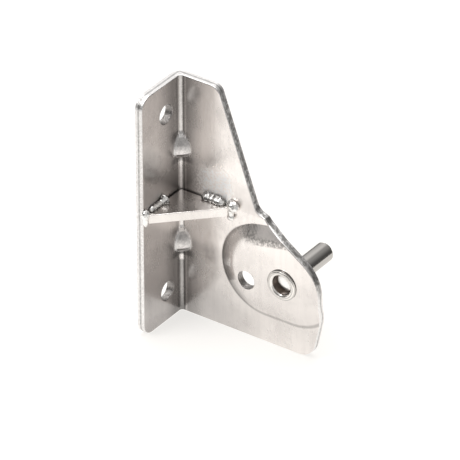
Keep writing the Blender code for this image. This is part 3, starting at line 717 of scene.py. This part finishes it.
def turned_metal(name):
    """The turned pin: a shank in painted shade, a bright rivet with two painted shade lines, and a bore in
    painted shade whose floor is painted bright and dished in the shading."""
    material, tree, shader, place = new_metal(name)
    where = split(tree, place)
    rings = noise(tree, place, *RINGS)
    shank = above(tree, where["Y"], *SHANK_Y)
    radius = from_axis(tree, where["X"], where["Z"], PIN_PLACE)
    bore, floor = (unless(tree, both(tree, below(tree, radius, *wide), above(tree, where["Y"], *deep)), shank)
                   for wide, deep in ((BORE_RADIUS, BORE_Y), (BORE_FLOOR_RADIUS, BORE_FLOOR_Y)))
    lines = either(tree, *(band(tree, radius, *line) for line in RIVET_SHADE_LINES))
    tone = blend(tree, shank, PIN_COLOUR, [part * SHANK_SHADE for part in PIN_COLOUR])
    tone = shade(tree, tone, unless(tree, lines, shank), RIVET_LINE_SHADE)
    tone = blend(tree, bore, tone, BORE_SHADE_COLOUR)
    tone = blend(tree, floor, tone, BORE_FLOOR_LIGHT_COLOUR)
    rough = total(tree, ramp(tree, rings, *NOISE_SPAN, *RING_GLOSS),
                  fade(tree, shank, RIVET_GLOSS, SHANK_GLOSS),
                  both(tree, unless(tree, bore, floor), BORE_GLOSS))
    dishing = ramp(tree, where["Y"], *BORE_FLOOR_Y, 0.0, BORE_FLOOR_DISH)
    dish = both(tree, calc(tree, "MULTIPLY", radius, radius), unless(tree, dishing, shank))
    normal = bumped(tree, dish, 1.0, 1.0, Normal=bumped(tree, rings, *RING_BUMP))
    finish(tree, shader, tone, rough, normal)
    return material


def bead_metal(name, colour, crust_share, gloss):
    """Plated weld metal: a smooth bright crown between two crusts."""
    material, tree, shader, place = new_metal(name)
    where = split(tree, place)
    lumps = noise(tree, place, *LUMPS)
    outward = calc(tree, "MINIMUM", minus(tree, where["X"], FLANGE_FACE), minus(tree, FOLD_FACE, where["Y"]))
    tilt = minus(tree, minus(tree, where["Z"], GUSSET_TOP), outward)
    crown = band(tree, tilt, *CROWN_TILT)
    crust = unless(tree, below(tree, lumps, crust_share - CRUST_BLUR, crust_share + CRUST_BLUR), crown)
    tone = blend(tree, crust, colour, CREASE_SHADE_AND_CRUST_COLOUR)
    finish(tree, shader, tone, ramp(tree, lumps, *NARROW_SPAN, *gloss), bumped(tree, lumps, *BEAD_BUMP))
    return material


def lumpy_weld(name, solid_name, material):
    """The weld as deposited: the solid's own form in fine facets, swollen into uneven lumps."""
    weld = bpy.data.objects.new(name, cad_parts[solid_name].data.copy())
    bpy.context.collection.objects.link(weld)
    weld.data.materials.clear()
    finer = weld.modifiers.new("fine_facets", "REMESH")
    finer.mode = "VOXEL"
    finer.voxel_size = WELD_VOXEL
    soft = weld.modifiers.new("soft_edges", "SMOOTH")
    soft.iterations = WELD_SOFTENING
    evaluated = weld.evaluated_get(bpy.context.evaluated_depsgraph_get())
    mesh = bpy.data.meshes.new_from_object(evaluated)
    weld.modifiers.clear()
    weld.data = mesh
    normals = [vertex.normal.copy() for vertex in mesh.vertices]
    for vertex, normal in zip(mesh.vertices, normals):
        swell = lattice.fractal(vertex.co / LUMP_SIZE, *LUMP_FRACTAL)
        vertex.co += normal * (WELD_GROWTH + LUMP_DEPTH * swell)
    mesh.shade_smooth()
    mesh.materials.append(material)
    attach(weld, "root")
    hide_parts(solid_name)


def dress(name, material):
    """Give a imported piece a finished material."""
    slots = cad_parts[name].data.materials
    slots.clear()
    slots.append(material)


def seen_ray(tree):
    """One for rays that show the background, straight or in a reflection."""
    path = node(tree, "ShaderNodeLightPath").outputs
    return either(tree, path["Is Camera Ray"], path["Is Glossy Ray"])


def add_table():
    """A round white table top."""
    bpy.ops.mesh.primitive_circle_add(vertices=TABLE_CORNERS, radius=TABLE_RADIUS, fill_type="NGON",
                                      location=(*TABLE_CENTRE, TABLE_HEIGHT - TABLE_GAP))
    table = bpy.context.object
    table.name = "table_top"
    material = bpy.data.materials.new("white_table")
    material.use_nodes = True
    tree = material.node_tree
    shader = tree.nodes["Principled BSDF"]
    shader.inputs["Base Color"].default_value = (*TABLE_COLOUR, 1.0)
    shader.inputs["Roughness"].default_value = TABLE_ROUGHNESS
    shader.inputs["Specular IOR Level"].default_value = TABLE_SPECULAR
    shader.inputs["Emission Color"].default_value = (*TABLE_GLOW, 1.0)
    whiteness = calc(tree, "MULTIPLY", seen_ray(tree), TABLE_WHITENESS)
    tree.links.new(whiteness, shader.inputs["Emission Strength"])
    table.data.materials.append(material)


def add_softbox(name, place, size, power):
    """A rectangular softbox turned towards the part's origin."""
    light = bpy.data.lights.new(name, "AREA")
    light.shape = "RECTANGLE"
    light.size, light.size_y = size
    light.energy = power
    lamp = bpy.data.objects.new(name, light)
    bpy.context.collection.objects.link(lamp)
    lamp.location = place
    lamp.rotation_euler = (-Vector(place)).to_track_quat("-Z", "Y").to_euler()


def light_room():
    """A dim room with a bright ceiling, a window in front at the right and another behind at the left; the
    white backdrop lies below the table's level."""
    world = bpy.data.worlds.new("room")
    bpy.context.scene.world = world
    world.use_nodes = True
    tree = world.node_tree
    tree.nodes.clear()
    direction = node(tree, "ShaderNodeTexCoord").outputs["Generated"]
    up = split(tree, direction)["Z"]
    panels = []
    for middle, edge, strength in ((WINDOW, WINDOW_EDGE, WINDOW_STRENGTH),
                                   (BACK_WINDOW, BACK_WINDOW_EDGE, BACK_WINDOW_STRENGTH)):
        cosine = node(tree, "ShaderNodeVectorMath", {0: direction, 1: middle}, operation="DOT_PRODUCT")
        panels.append(ramp(tree, cosine.outputs["Value"], *edge, 0.0, strength))
    ceiling = ramp(tree, up, *CEILING_EDGE, WALL_STRENGTH, CEILING_STRENGTH)
    backdrop = both(tree, below(tree, up, *BACKDROP_EDGE), seen_ray(tree))
    glow = fade(tree, backdrop, total(tree, ceiling, *panels), 1.0)
    room = node(tree, "ShaderNodeBackground", {"Color": (*ROOM_COLOUR, 1.0), "Strength": glow})
    node(tree, "ShaderNodeOutputWorld", {"Surface": room.outputs[0]})


def add_camera():
    """The photograph's camera."""
    side = Vector((math.cos(CAMERA_AZIMUTH), math.sin(CAMERA_AZIMUTH), 0.0))
    back = Vector((math.sin(CAMERA_AZIMUTH) * math.cos(CAMERA_ELEVATION),
                   -math.cos(CAMERA_AZIMUTH) * math.cos(CAMERA_ELEVATION), math.sin(CAMERA_ELEVATION)))
    upwards = back.cross(side)
    right = side * math.cos(CAMERA_ROLL) + upwards * math.sin(CAMERA_ROLL)
    up = upwards * math.cos(CAMERA_ROLL) - side * math.sin(CAMERA_ROLL)
    place = FOLD_FOOT + right * CAMERA_ASIDE + up * CAMERA_ABOVE + back * CAMERA_DISTANCE
    data = bpy.data.cameras.new("photo_camera")
    data.lens = LENS
    data.sensor_width = SENSOR_WIDTH
    data.clip_start = CLIP_START
    data.clip_end = CLIP_END
    camera = bpy.data.objects.new("photo_camera", data)
    bpy.context.collection.objects.link(camera)
    turn = Matrix((right, up, back)).transposed().to_4x4()
    camera.matrix_world = Matrix.Translation(place) @ turn
    bpy.context.scene.camera = camera


def main():
    scene = bpy.context.scene
    scene.view_settings.view_transform = "Standard"

    dress("bracket", sheet_metal("bright_zinc_sheet"))
    dress("gusset_plate", gusset_metal("bright_zinc_gusset"))
    dress("hinge_pin", turned_metal("polished_pin"))
    bead = bead_metal("weld_bead", BEAD_COLOUR, BEAD_CRUST, BEAD_GLOSS)
    corner = bead_metal("weld_corner", CORNER_COLOUR, CORNER_CRUST, CORNER_GLOSS)
    for name, material in (("weld_plate_bead", bead), ("weld_flange_bead", bead),
                           ("weld_plate_corner", corner), ("weld_flange_corner", corner)):
        lumpy_weld(f"{name}_metal", name, material)

    add_table()
    light_room()
    for softbox in SOFTBOXES:
        add_softbox(*softbox)
    add_camera()


main()
